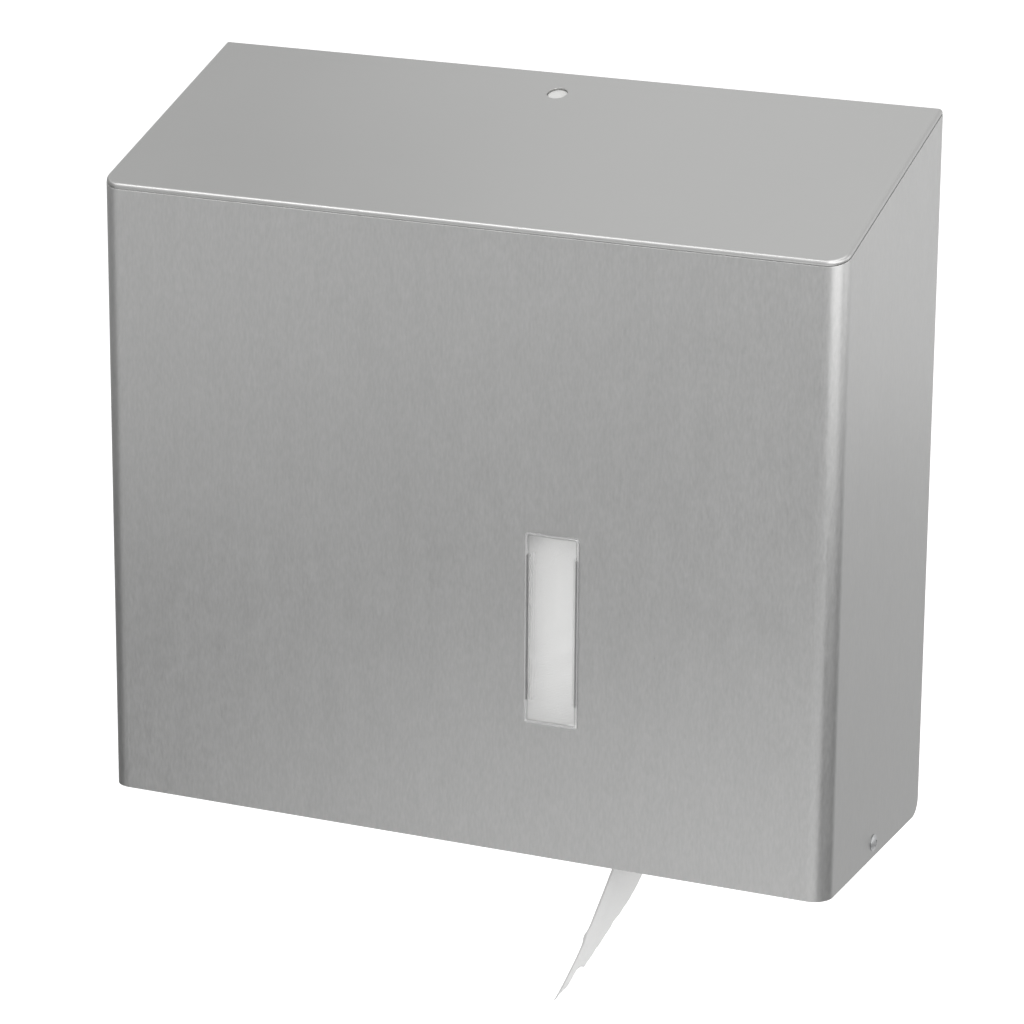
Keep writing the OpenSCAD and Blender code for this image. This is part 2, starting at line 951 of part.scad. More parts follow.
function helix(steps) =
    [for (i = [0 : spring_turns * steps])
        let (a = 360 * i / steps)
            [spring_r * cos(a), spring_r * sin(a), spring_z(i / steps)]];

// Least free distance between turns, from points on the wire over half a turn apart
function least_gap(path, steps) =
    min([for (i = [0 : len(path) - 1 - steps / 2], j = [i + steps / 2 : len(path) - 1])
        norm(path[j] - path[i])]) - spring_wire;

// Coil spring swept as one tube with eight sides
module lock_spring() {
    sides = 8;
    steps = 12;
    path = helix(steps);
    n = len(path);
    echo(lock_spring_least_gap_mm = least_gap(path, steps));
    rise = (spring_head - spring_foot) / spring_turns;
    tilt = atan(rise / (2 * PI * spring_r));
    function section(i) = [for (k = [0 : sides - 1])
        let (
            a = 360 * i / steps,
            b = 360 * k / sides,
            out = spring_wire / 2 * cos(b),
            up = spring_wire / 2 * sin(b)
        )
            path[i] + out * [cos(a), sin(a), 0]
                + up * [sin(a) * sin(tilt), -cos(a) * sin(tilt), cos(tilt)]];
    points = [for (i = [0 : n - 1]) each section(i)];
    walls = [for (i = [0 : n - 2], k = [0 : sides - 1])
        let (a = i * sides + k, b = i * sides + (k + 1) % sides)
            each [[a, a + sides, b], [b, a + sides, b + sides]]];
    color(zinc)
        in_frame()
            translate([0, -lock_y, 0])
                polyhedron(points, concat(
                    [[for (k = [0 : sides - 1]) k]],
                    walls,
                    [[for (k = [sides - 1 : -1 : 0]) (n - 1) * sides + k]]
                ));
}

// ---- Tear bars ----

// Serrated strip that stands out of the wall beside the path of the paper
module tear_bar(left) {
    color(steel)
        in_frame()
            mirrored(left)
                difference() {
                    union() {
                        along_x(tear_x, tear_t)
                            polygon(concat(
                                [[-plate_t, tear_top], [-plate_t, tear_foot + 2]],
                                [for (i = [0 : tear_teeth - 1], half = [0, 1])
                                    [-plate_t - 1 - (i + half / 2) * tooth,
                                     tear_foot + (half == 0 ? 3 : 0)]],
                                [[-plate_t - 1 - tear_teeth * tooth, tear_foot + 3],
                                 [-plate_t - 1 - tear_teeth * tooth, tear_foot + 9],
                                 [-plate_t - tear_teeth * tooth + 20, tear_top]]
                            ));
                        translate([tear_x, -plate_t - tear_t, tear_foot + 2])
                            cube([24, tear_t, tear_top - tear_foot - 2]);
                    }
                    for (x = tear_rivet_x)
                        out_of_wall(x, tear_rivet_z)
                            cylinder(r = small_rivet_r + hole_clear / 2, h = 5);
                }
}

module tear_bar_rivets() {
    color(zinc)
        in_frame()
            for (x = tear_rivet_x, side = [-1, 1])
                out_of_wall(side * x, tear_rivet_z)
                    dome_rivet(small_rivet_r, 2.8, 0.2, plate_t + tear_t);
}

cover_shell();
cover_cap();
window_insert();
catch_plate();
hinge_plate(true);  // hinge_plate_left
hinge_plate(false);  // hinge_plate_right
back_plate();
hinge_rivet(true);  // hinge_rivet_left
hinge_rivet(false);  // hinge_rivet_right
hinge_washer(true);  // hinge_washer_left
hinge_washer(false);  // hinge_washer_right
spindle_cup();
spindle_rivets();
roll_axle();
friction_washer();
thrust_washer();
axle_clip();
core_hub();
roll_core();
paper_roll();
paper_tail();
lock_housing();
lock_screws();
lock_button();
lock_spring();
tear_bar(true);  // tear_bar_left
tear_bar(false);  // tear_bar_right
tear_bar_rivets();
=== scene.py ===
"""Finishes, tissue, studio and view of the jumbo toilet roll dispenser."""

import math

import bpy
from mathutils import Matrix, Vector, noise


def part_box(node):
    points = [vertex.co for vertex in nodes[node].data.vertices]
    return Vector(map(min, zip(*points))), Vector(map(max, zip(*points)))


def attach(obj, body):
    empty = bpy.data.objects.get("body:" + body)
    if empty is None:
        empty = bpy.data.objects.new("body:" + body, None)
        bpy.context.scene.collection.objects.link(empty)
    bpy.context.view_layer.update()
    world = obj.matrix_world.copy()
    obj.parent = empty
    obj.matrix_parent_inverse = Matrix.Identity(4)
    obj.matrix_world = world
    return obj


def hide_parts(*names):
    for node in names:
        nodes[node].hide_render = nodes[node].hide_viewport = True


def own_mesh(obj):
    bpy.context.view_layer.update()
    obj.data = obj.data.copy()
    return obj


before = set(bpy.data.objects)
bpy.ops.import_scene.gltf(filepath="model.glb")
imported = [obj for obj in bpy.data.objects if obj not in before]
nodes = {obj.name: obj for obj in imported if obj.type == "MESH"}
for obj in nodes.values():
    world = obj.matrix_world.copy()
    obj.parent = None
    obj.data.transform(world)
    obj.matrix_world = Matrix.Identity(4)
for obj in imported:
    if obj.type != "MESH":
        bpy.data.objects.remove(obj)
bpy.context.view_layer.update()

# Places shared with the dispenser's own drawing, in metres from the middle of the wall screws
SPINDLE_Z = -0.005
ROLL_RADIUS = 0.124
ROLL_REAR = -0.0142
ROLL_FRONT = -0.1118
CORE_RADIUS = 0.0311
FOOT_Z = -0.175
WINDOW_X = 0.048
WINDOW_Z = -0.0623
CAP_REAR_Z = 0.172
CAP_SLOPE = math.atan(44.5 / 131)
KEY_HOLE_DOWN = 0.0195


# ---- View ----


def add_camera():
    """The photograph's view, from the right and a little above."""
    place = (0.80311, -1.89816, 0.58586)
    right = Vector((0.91479, 0.40388, 0.00716))
    down = Vector((0.12491, -0.26598, -0.95585))
    ahead = Vector((-0.38414, 0.87529, -0.29377))
    camera = bpy.data.objects.new("camera", bpy.data.cameras.new("camera"))
    camera.data.sensor_width = 36
    camera.data.lens = 153.93
    camera.data.clip_start = 0.05
    camera.data.clip_end = 60
    turn = Matrix((right, -down, -ahead)).transposed().to_4x4()
    camera.matrix_world = Matrix.Translation(place) @ turn
    bpy.context.scene.collection.objects.link(camera)
    bpy.context.scene.camera = camera


# ---- Node building ----

FLOAT = "NodeSocketFloat"
VECTOR = "NodeSocketVector"
COLOR = "NodeSocketColor"


def fill(tree, node, inputs):
    """Sets or links a node's inputs, given by name or by place."""
    for key, value in inputs.items():
        socket = node.inputs[key]
        if isinstance(value, bpy.types.NodeSocket):
            tree.links.new(value, socket)
        else:
            socket.default_value = value


def add_node(tree, kind, inputs=None, **settings):
    """A node with its settings and its inputs."""
    made = tree.nodes.new(kind)
    for name, value in settings.items():
        setattr(made, name, value)
    fill(tree, made, inputs or {})
    return made


def maths(tree, operation, *values):
    """One maths step on numbers or sockets."""
    return add_node(
        tree, "ShaderNodeMath", dict(enumerate(values)), operation=operation
    ).outputs[0]


def times(tree, value, gain):
    """A value multiplied by another."""
    return maths(tree, "MULTIPLY", value, gain)


def swing(tree, value):
    """A noise value from 0 to 1, moved to lie evenly about nothing."""
    return maths(tree, "SUBTRACT", value, 0.5)


def blend(tree, first, share, second, other_share):
    """Two values added in their shares."""
    return maths(tree, "ADD", times(tree, first, share), times(tree, second, other_share))


def spread(tree, value, start, end, low=0.0, high=1.0):
    """A value between start and end, spread over low to high and held at both."""
    return add_node(
        tree,
        "ShaderNodeMapRange",
        {"Value": value, "From Min": start, "From Max": end, "To Min": low, "To Max": high},
    ).outputs[0]


def speckle(tree, place, scale, detail, **inputs):
    """Noise from 0 to 1 at each place. scale is how often it changes in a unit of place."""
    return add_node(
        tree,
        "ShaderNodeTexNoise",
        {"Vector": place, "Scale": scale, "Detail": detail, **inputs},
    ).outputs[0]


def rings(tree, radius, often, detail):
    """Noise from 0 to 1 that changes only with the radius."""
    return add_node(
        tree,
        "ShaderNodeTexNoise",
        {"W": times(tree, radius, often), "Scale": 1.0, "Detail": detail},
        noise_dimensions="1D",
    ).outputs[0]


def stretch(tree, place, often):
    """A place scaled by its own amount along each axis."""
    return add_node(
        tree, "ShaderNodeVectorMath", {0: place, 1: often}, operation="MULTIPLY"
    ).outputs[0]


def shade(tree, tone, gain):
    """A colour made lighter or darker."""
    return add_node(
        tree, "ShaderNodeVectorMath", {0: tone, "Scale": gain}, operation="SCALE"
    ).outputs[0]


def mix_colors(tree, share, first, second):
    """The first colour at a share of nothing, and the second at one."""
    return add_node(
        tree, "ShaderNodeMix", {"Factor": share, 6: first, 7: second}, data_type="RGBA"
    ).outputs[2]


def rounded_edges(tree, radius, samples=4):
    """The directions of the faces, with their edges rounded over."""
    return add_node(tree, "ShaderNodeBevel", {"Radius": radius}, samples=samples).outputs[0]


def away_from_edge(tree, rounded):
    """One on a flat face, and less where its edge is rounded over."""
    flat = add_node(tree, "ShaderNodeNewGeometry").outputs["Normal"]
    return add_node(
        tree, "ShaderNodeVectorMath", {0: rounded, 1: flat}, operation="DOT_PRODUCT"
    ).outputs["Value"]


def relief(tree, height, depth, strength=1.0, **inputs):
    """The directions of a face with a fine relief on it."""
    return add_node(
        tree,
        "ShaderNodeBump",
        {"Strength": strength, "Distance": depth, "Height": height, **inputs},
    ).outputs[0]


def new_group(name, inputs, outputs):
    """An empty shader group with named sockets, and its two ends."""
    group = bpy.data.node_groups.new(name, "ShaderNodeTree")
    for label, kind, value in inputs:
        socket = group.interface.new_socket(name=label, in_out="INPUT", socket_type=kind)
        if value is not None:
            socket.default_value = value
    for label, kind in outputs:
        group.interface.new_socket(name=label, in_out="OUTPUT", socket_type=kind)
    return group, group.nodes.new("NodeGroupInput"), group.nodes.new("NodeGroupOutput")


def make_metal_grain():
    """Drawn lines, slow clouding and rounded edges of sheet metal, lighter at the edges as rubbed
    wear and painted highlight.
    """
    group, start, end = new_group(
        "metal_grain",
        [
            ("Place", VECTOR, None),
            ("Lines", VECTOR, (1500, 1500, 60)),
            ("Tone", COLOR, (0.4, 0.4, 0.4, 1)),
            ("Tone Change", FLOAT, 0.1),
            ("Roughness", FLOAT, 0.35),
            ("Roughness Change", FLOAT, 0.08),
            ("Depth", FLOAT, 0.00001),
            ("Clouding", FLOAT, 0.05),
            ("Edge Radius", FLOAT, 0.0004),
            ("Edge Rub And Highlight", FLOAT, 0.3),
        ],
        [("Color", COLOR), ("Roughness", FLOAT), ("Normal", VECTOR)],
    )
    given = start.outputs
    stretched = stretch(group, given["Place"], given["Lines"])
    fine = speckle(group, stretched, 1.0, 3.0, Roughness=0.65)
    broad = speckle(group, stretched, 0.16, 2.0, Roughness=0.5)
    lines = blend(group, fine, 0.82, broad, 0.18)
    drawn = swing(group, lines)
    cloud = speckle(group, given["Place"], 9.0, 4.0, Roughness=0.55)
    clouding = times(group, swing(group, cloud), given["Clouding"])
    rounded = rounded_edges(group, given["Edge Radius"])
    # Edges made lighter and smoother: partly rubbed wear, partly painted highlight
    edge = spread(group, away_from_edge(group, rounded), 0.995, 0.8)
    rubbed_and_highlit = times(group, edge, given["Edge Rub And Highlight"])
    gain = maths(group, "MULTIPLY_ADD", drawn, given["Tone Change"], 1.0)
    gain = maths(group, "ADD", gain, clouding)
    rough = maths(
        group, "MULTIPLY_ADD", drawn, given["Roughness Change"], given["Roughness"]
    )
    rough = maths(group, "ADD", rough, clouding)
    outcome = {
        "Color": shade(group, given["Tone"], maths(group, "ADD", gain, rubbed_and_highlit)),
        "Roughness": maths(group, "SUBTRACT", rough, times(group, rubbed_and_highlit, 0.2)),
        "Normal": relief(group, lines, given["Depth"], Normal=rounded),
    }
    fill(group, end, outcome)
    return group


def make_moulded_face():
    """Fine spark texture, faint flow marks and soft edges of moulded plastic."""
    group, start, end = new_group(
        "moulded_face",
        [
            ("Place", VECTOR, None),
            ("Tone", COLOR, (0.8, 0.8, 0.8, 1)),
            ("Grain", FLOAT, 2500.0),
            ("Depth", FLOAT, 0.00003),
            ("Roughness", FLOAT, 0.5),
            ("Edge Radius", FLOAT, 0.0005),
        ],
        [("Color", COLOR), ("Roughness", FLOAT), ("Normal", VECTOR)],
    )
    given = start.outputs
    spark = speckle(group, given["Place"], given["Grain"], 2.0, Roughness=0.6)
    flow = swing(group, speckle(group, given["Place"], 40.0, 3.0, Distortion=0.8))
    rounded = rounded_edges(group, given["Edge Radius"])
    outcome = {
        "Color": shade(group, given["Tone"], maths(group, "MULTIPLY_ADD", flow, 0.08, 1.0)),
        "Roughness": maths(group, "MULTIPLY_ADD", flow, 0.15, given["Roughness"]),
        "Normal": relief(group, spark, given["Depth"], Normal=rounded),
    }
    fill(group, end, outcome)
    return group


def make_tissue_face():
    """Crepe ridges and loose fibres of tissue. Ridges is how often they come along each axis."""
    group, start, end = new_group(
        "tissue_face",
        [
            ("Place", VECTOR, None),
            ("Ridges", VECTOR, (300, 300, 2500)),
            ("Tone", COLOR, (0.8, 0.8, 0.8, 1)),
            ("Depth", FLOAT, 0.0001),
        ],
        [("Color", COLOR), ("Normal", VECTOR)],
    )
    given = start.outputs
    ridged = stretch(group, given["Place"], given["Ridges"])
    crepe = speckle(group, ridged, 1.0, 3.0, Roughness=0.6)
    fibre = speckle(group, given["Place"], 1400.0, 4.0, Distortion=1.5)
    height = blend(group, crepe, 0.75, fibre, 0.25)
    gain = maths(group, "MULTIPLY_ADD", swing(group, height), 0.12, 1.0)
    outcome = {
        "Color": shade(group, given["Tone"], gain),
        "Normal": relief(group, height, given["Depth"]),
    }
    fill(group, end, outcome)
    return group


METAL_GRAIN = make_metal_grain()
MOULDED_FACE = make_moulded_face()
TISSUE_FACE = make_tissue_face()


# ---- Finishes ----


def new_finish(name):
    """An empty material, its tree, its shader and the place on the piece."""
    material = bpy.data.materials.new(name)
    material.use_nodes = True
    tree = material.node_tree
    place = add_node(tree, "ShaderNodeTexCoord").outputs["Object"]
    return material, tree, tree.nodes["Principled BSDF"], place


def use_group(tree, group, inputs):
    """A shader group placed in a material, with its inputs. Gives its outputs."""
    return add_node(tree, "ShaderNodeGroup", inputs, node_tree=group).outputs


def dress(tree, shader, face):
    """Gives a shader the colour, roughness and relief of a group's face."""
    surface = {
        "Base Color": face["Color"],
        "Roughness": face["Roughness"],
        "Normal": face["Normal"],
    }
    fill(tree, shader, surface)


def metal(name, tone, lines, roughness, grain, anisotropy=0.0):
    """A bare metal. tone is its reflectance, lines how often its grain comes along each axis."""
    material, tree, shader, place = new_finish(name)
    given = {"Place": place, "Lines": lines, "Tone": (*tone, 1), "Roughness": roughness, **grain}
    fill(tree, shader, {"Metallic": 1.0, "Anisotropic": anisotropy})
    dress(tree, shader, use_group(tree, METAL_GRAIN, given))
    return material


def plastic(name, tone, roughness, edge=0.0005):
    """A moulded, opaque plastic. edge is the radius of its edges."""
    material, tree, shader, place = new_finish(name)
    given = {"Place": place, "Tone": (*tone, 1), "Roughness": roughness, "Edge Radius": edge}
    dress(tree, shader, use_group(tree, MOULDED_FACE, given))
    return material


def tissue(name, tone, ridges, depth, middle=None, half=None):
    """Tissue. With a middle and a half width, its two edges are made a little darker as painted
    shade.
    """
    material, tree, shader, place = new_finish(name)
    given = {"Place": place, "Tone": (*tone, 1), "Ridges": ridges, "Depth": depth}
    face = use_group(tree, TISSUE_FACE, given)
    color = face["Color"]
    if half:
        # Painted shade: the sheet is darker towards its two edges
        edge_shade_start = half - 0.0045
        edge_shade_end = half - 0.0020
        out = add_node(tree, "ShaderNodeSeparateXYZ", {0: place}).outputs["Y"]
        off = maths(tree, "ABSOLUTE", maths(tree, "SUBTRACT", out, middle))
        color = shade(tree, color, spread(tree, off, edge_shade_start, edge_shade_end, 1.0, 0.74))
    fill(tree, shader, {"Roughness": 0.95, "Specular IOR Level": 0.2})
    fill(tree, shader, {"Base Color": color, "Normal": face["Normal"]})
    return material


def wound_tissue(name, tone):
    """The end of the roll: edges of the layers, seen as fine rings round the spindle."""
    layer_pitch = 0.0004
    material, tree, shader, place = new_finish(name)
    parts = add_node(tree, "ShaderNodeSeparateXYZ", {0: place})
    across = parts.outputs["X"]
    up = maths(tree, "SUBTRACT", parts.outputs["Z"], SPINDLE_Z)
    square = maths(tree, "ADD", times(tree, across, across), times(tree, up, up))
    turn = maths(tree, "ARCTAN2", up, across)
    spiral = maths(tree, "MULTIPLY_ADD", turn, layer_pitch, maths(tree, "SQRT", square))
    layers = rings(tree, spiral, 1800.0, 3.0)
    bands = rings(tree, spiral, 160.0, 2.0)
    fuzz = speckle(tree, place, 900.0, 4.0, Roughness=0.7)
    gain = maths(tree, "MULTIPLY_ADD", swing(tree, layers), 0.16, 1.0)
    gain = maths(tree, "ADD", gain, times(tree, swing(tree, bands), 0.08))
    normal = relief(tree, blend(tree, layers, 0.6, fuzz, 0.4), 0.0003)
    fill(tree, shader, {"Roughness": 0.95, "Specular IOR Level": 0.15})
    fill(tree, shader, {"Base Color": shade(tree, tone, gain), "Normal": normal})
    return material


def window_inset(tree, place):
    """How far a place on the clear insert lies outside its rounded outline, in millimetres."""
    corner = 2.6
    half_width = 13.7
    half_height = 46.7
    parts = add_node(tree, "ShaderNodeSeparateXYZ", {0: place})
    past = []
    for axis, middle, half in (("X", WINDOW_X, half_width), ("Z", WINDOW_Z, half_height)):
        off = maths(tree, "ABSOLUTE", maths(tree, "SUBTRACT", parts.outputs[axis], middle))
        past.append(maths(tree, "MULTIPLY_ADD", off, 1000.0, corner - half))
    squares = []
    for value in past:
        clear = maths(tree, "MAXIMUM", value, 0.0)
        squares.append(times(tree, clear, clear))
    round_part = maths(tree, "SQRT", maths(tree, "ADD", *squares))
    flat_part = maths(tree, "MINIMUM", maths(tree, "MAXIMUM", *past), 0.0)
    return maths(tree, "SUBTRACT", maths(tree, "ADD", round_part, flat_part), corner)


def band(tree, value, low, high, soft):
    """One between low and high, and nothing outside them, with soft sides."""
    rise = spread(tree, value, low - soft, low + soft)
    fall = spread(tree, value, high + soft, high - soft)
    return times(tree, rise, fall)


def clear_moulding(name):
    """Clear plastic: see-through faces, faint scuffs, and painted light: a painted glint on the
    edges, a painted highlight on the bead and a painted shadow line inside it.
    """
    material, tree, shader, place = new_finish(name)
    ripple = speckle(tree, place, 130.0, 2.0)
    scuff = speckle(tree, place, 900.0, 4.0)
    rounded = rounded_edges(tree, 0.00045, samples=6)
    # Painted glint: the rounded edges are made more opaque, so their white shows as a bright line
    edge_glint = spread(tree, away_from_edge(tree, rounded), 0.99, 0.75, 0.3, 0.8)
    inset = window_inset(tree, place)
    # Painted highlight on the bead near the outline, and a painted shadow line just inside it
    bead_highlight = times(tree, band(tree, inset, -1.05, -0.25, 0.12), 0.82)
    shadow_line = times(tree, band(tree, inset, -1.8, -1.1, 0.15), 0.62)
    surface = {
        "IOR": 1.49,
        "Transmission Weight": 0.6,
        "Base Color": mix_colors(tree, shadow_line, (0.95, 0.95, 0.95, 1), (0.12, 0.12, 0.12, 1)),
        "Alpha": maths(tree, "MAXIMUM", edge_glint, maths(tree, "MAXIMUM", bead_highlight, shadow_line)),
        "Roughness": spread(tree, scuff, 0.3, 0.7, 0.06, 0.16),
        "Normal": relief(tree, ripple, 0.0001, strength=0.5, Normal=rounded),
    }
    fill(tree, shader, surface)
    return material


def two_tones(tree, value, dark, light, dark_at=0.0, light_at=1.0):
    """A colour between a dark and a light one."""
    ramp = add_node(tree, "ShaderNodeValToRGB", {"Fac": value})
    first, last = ramp.color_ramp.elements
    first.position = dark_at
    first.color = (*dark, 1)
    last.position = light_at
    last.color = (*light, 1)
    return ramp.outputs["Color"]


def wound_board(name):
    """Spiral-wound grey-brown board: a seam that climbs round the core, and long fibres."""
    seams_in_metre = 14.0
    material, tree, shader, place = new_finish(name)
    parts = add_node(tree, "ShaderNodeSeparateXYZ", {0: place})
    up = maths(tree, "SUBTRACT", parts.outputs["Z"], SPINDLE_Z)
    turn = maths(tree, "ARCTAN2", up, parts.outputs["X"])
    climb = blend(tree, turn, 1 / (2 * math.pi), parts.outputs["Y"], seams_in_metre)
    off = maths(tree, "ABSOLUTE", swing(tree, maths(tree, "FRACT", climb)))
    seam = spread(tree, off, 0.0, 0.02)
    fibre = speckle(tree, place, 500.0, 5.0, Distortion=2.0)
    board = two_tones(tree, fibre, (0.27, 0.2, 0.13), (0.44, 0.35, 0.24), 0.3, 0.7)
    surface = {
        "Roughness": 0.9,
        "Base Color": mix_colors(tree, seam, (0.14, 0.1, 0.06, 1), board),
        "Normal": relief(tree, maths(tree, "ADD", fibre, seam), 0.0002),
    }
    fill(tree, shader, surface)
    return material


def pressed_felt(name):
    """Grey felt: a soft, tangled fluff."""
    material, tree, shader, place = new_finish(name)
    fluff = speckle(tree, place, 1800.0, 5.0, Distortion=3.0)
    surface = {
        "Roughness": 1.0,
        "Sheen Weight": 0.3,
        "Base Color": two_tones(tree, fluff, (0.07, 0.07, 0.075), (0.26, 0.26, 0.27)),
        "Normal": relief(tree, fluff, 0.0003),
    }
    fill(tree, shader, surface)
    return material


def dress_hardware():
    """Puts each finish on the drawn pieces that wear it."""
    brushed = metal(
        "brushed_steel",
        (0.425, 0.425, 0.422),
        (880, 880, 250),
        0.34,
        {"Tone Change": 0.38, "Roughness Change": 0.2, "Depth": 0.000016},
        anisotropy=0.5,
    )
    satin = metal(
        "satin_steel",
        (0.42, 0.42, 0.415),
        (260, 1900, 1900),
        0.36,
        {"Tone Change": 0.05, "Roughness Change": 0.05, "Depth": 0.000004},
    )
    mill = metal(
        "mill_steel",
        (0.43, 0.435, 0.44),
        (60, 900, 900),
        0.4,
        {"Tone Change": 0.1, "Roughness Change": 0.12, "Clouding": 0.16},
    )
    rivet = metal(
        "rivet_steel",
        (0.38, 0.385, 0.39),
        (700, 700, 700),
        0.46,
        {"Tone Change": 0.3, "Clouding": 0.1, "Edge Radius": 0.0002},
    )
    zinc = metal(
        "zinc_steel",
        (0.44, 0.46, 0.50),
        (900, 500, 900),
        0.33,
        {"Tone Change": 0.15, "Clouding": 0.2, "Edge Radius": 0.0003},
    )
    wire = metal(
        "spring_wire", (0.3, 0.31, 0.33), (500, 500, 500), 0.28, {"Edge Radius": 0.0001}
    )
    white = plastic("white_plastic", (0.80, 0.80, 0.78), 0.45)
    nylon = plastic("white_nylon", (0.74, 0.74, 0.70), 0.4, edge=0.0002)
    worn_by = {
        brushed: ["cover_shell"],
        satin: ["cover_cap"],
        mill: [
            "back_plate",
            "catch_plate",
            "hinge_plate_left",
            "hinge_plate_right",
            "spindle_cup",
            "tear_bar_left",
            "tear_bar_right",
        ],
        rivet: ["hinge_rivet_left", "hinge_rivet_right", "spindle_rivets", "tear_bar_rivets"],
        zinc: ["roll_axle", "thrust_washer", "axle_clip", "lock_screws"],
        wire: ["lock_spring"],
        white: ["core_hub", "lock_housing", "lock_button"],
        nylon: ["hinge_washer_left", "hinge_washer_right"],
        pressed_felt("grey_felt"): ["friction_washer"],
        wound_board("core_board"): ["roll_core"],
        clear_moulding("clear_plastic"): ["window_insert"],
    }
    for material, names in worn_by.items():
        for name in names:
            data = nodes[name].data
            data.materials.clear()
            data.materials.append(material)


# ---- Meshes ----


def new_mesh(name, points, faces, materials):
    """A mesh object in the scene, with its materials."""
    mesh = bpy.data.meshes.new(name)
    mesh.from_pydata(points, [], faces)
    for material in materials:
        mesh.materials.append(material)
    made = bpy.data.objects.new(name, mesh)
    bpy.context.scene.collection.objects.link(made)
    return made


def new_piece(name, points, faces, materials, choose=None):
    """A smooth mesh piece. choose gives each face's material by its place in the list."""
    piece = new_mesh(name, points, faces, materials)
    for polygon in piece.data.polygons:
        polygon.use_smooth = True
        if choose:
            polygon.material_index = choose(polygon.index)
    piece.data.update()
    return piece


# ---- Catch ----


def make_catch_boss():
    """The round boss on the catch that the key presses. It fills the hole in the cap from below."""
    along = Vector((0, -math.cos(CAP_SLOPE), -math.sin(CAP_SLOPE)))
    out = Vector((0, -math.sin(CAP_SLOPE), math.cos(CAP_SLOPE)))
    middle = Vector((0, 0, CAP_REAR_Z)) + along * KEY_HOLE_DOWN
    # Radius of each ring and its height over the cap's outer face, from the foot to the top
    profile = [(0.0052, -0.00345), (0.0052, -0.0013), (0.0051, -0.00117), (0.0048, -0.0011)]
    turns = 48
    points = []
    for radius, height in profile:
        for i in range(turns):
            a = 2 * math.pi * i / turns
            across = Vector((1, 0, 0)) * radius * math.cos(a)
            points.append(tuple(middle + across + along * radius * math.sin(a) + out * height))
    faces = [tuple(reversed(range(turns)))]
    for k in range(len(profile) - 1):
        for i in range(turns):
            here = k * turns + i
            beside = k * turns + (i + 1) % turns
            faces.append((beside, here, here + turns, beside + turns))
    last = (len(profile) - 1) * turns
    faces.append(tuple(range(last, last + turns)))
    # Painted shade: the white plastic gets a darker grey than the other white parts, for the shade
    # of the hole it sits under
    shaded_white = plastic("catch_plastic", (0.54, 0.54, 0.53), 0.5)
    boss = new_piece("catch_boss", points, faces, [shaded_white])
    for polygon in boss.data.polygons:
        polygon.use_smooth = len(polygon.vertices) == 4
    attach(boss, "catch")


def make_spring():
    """The catch's coil spring, a copy of the drawn one that rides with the wall unit."""
    coil = bpy.data.objects.new("catch_coil", nodes["lock_spring"].data.copy())
    bpy.context.scene.collection.objects.link(coil)
    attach(coil, "wall_unit")
    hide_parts("lock_spring")
    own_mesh(coil)


# ---- Roll ----


def roll_profile(corner, face_steps=8, corner_steps=4):
    """The roll's section: radius, place along the spindle, and whether it is the outside."""
    rim = ROLL_RADIUS - corner
    reach = rim - CORE_RADIUS
    profile = []
    for k in range(face_steps + 1):
        profile.append((CORE_RADIUS + reach * k / face_steps, ROLL_FRONT, 0))
    for k in range(1, corner_steps + 1):
        a = math.pi / 2 * k / corner_steps
        y = ROLL_FRONT + corner * (1 - math.cos(a))
        profile.append((rim + corner * math.sin(a), y, 1))
    for k in range(1, corner_steps + 1):
        a = math.pi / 2 * k / corner_steps
        y = ROLL_REAR - corner * (1 - math.sin(a))
        profile.append((rim + corner * math.cos(a), y, 1))
    for k in range(1, face_steps + 1):
        profile.append((rim - reach * k / face_steps, ROLL_REAR, 0))
    return profile


def make_roll():
    """The wound roll: soft corners, slightly uneven layers on both ends."""
    turns = 160
    corner = 0.0016
    unevenness = 0.0002
    profile = roll_profile(corner)
    points = []
    for i in range(turns):
        a = 2 * math.pi * i / turns
        for radius, y, _ in profile:
            sway = unevenness * noise.noise(Vector((radius * 90, a, y * 20)))
            swayed = radius - abs(sway)
            if radius < ROLL_RADIUS - corner:
                y += 0.6 * sway
            points.append((swayed * math.cos(a), y, SPINDLE_Z + swayed * math.sin(a)))
    faces = []
    kinds = []
    count = len(profile)
    for i in range(turns):
        here = i * count
        beyond = (i + 1) % turns * count
        for k in range(count):
            after = (k + 1) % count
            faces.append((here + k, beyond + k, beyond + after, here + after))
            kinds.append(profile[k][2])
    ends = wound_tissue("tissue_edges", (0.86, 0.86, 0.85))
    outside = tissue("tissue_roll", (0.84, 0.84, 0.83), (900, 2600, 900), 0.00012)
    roll = new_piece("tissue_roll", points, faces, [ends, outside], kinds.__getitem__)
    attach(roll, "roll")
    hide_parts("paper_roll")


# ---- Tail ----

TAIL_WIDTH = 0.0972
TAIL_REAR = ROLL_REAR - 0.0002
# How far the tissue stands off the roll where it leaves it, and how much of it still lies there
TAIL_GAP = 0.0006
TAIL_BACK = 0.006
# Its lean as it leaves, and the lean that it would reach after the straight and the curl
TAIL_LEAN = math.radians(18.25)
TAIL_CURLED = math.radians(26)
TAIL_STRAIGHT = 0.154
TAIL_CURL = 0.070
# Lengths down the tissue: all that hangs, the nick in the front edge, and one step of the path
TAIL_LENGTH = 0.2254
TAIL_NICK = 0.186
TAIL_STEP = 0.0005
# Height of the torn edge above the foot of the cover in mm, from the wall side to the front
TAIL_TEAR = [
    (0, 2), (8, -2), (16, -7), (24, -14), (31, -22), (36.5, -31), (38, -38.5), (41, -46.5),
    (47, -52.3), (53.7, -53.6), (54.2, -57), (59.4, -59.7), (63.1, -63.6), (65.7, -64.4),
    (66.1, -67.6), (69.4, -70.4), (69.9, -73), (78.8, -69.7), (82.2, -70.2), (83.4, -78.3),
    (92.9, -79), (98, -84),
]  # fmt: skip


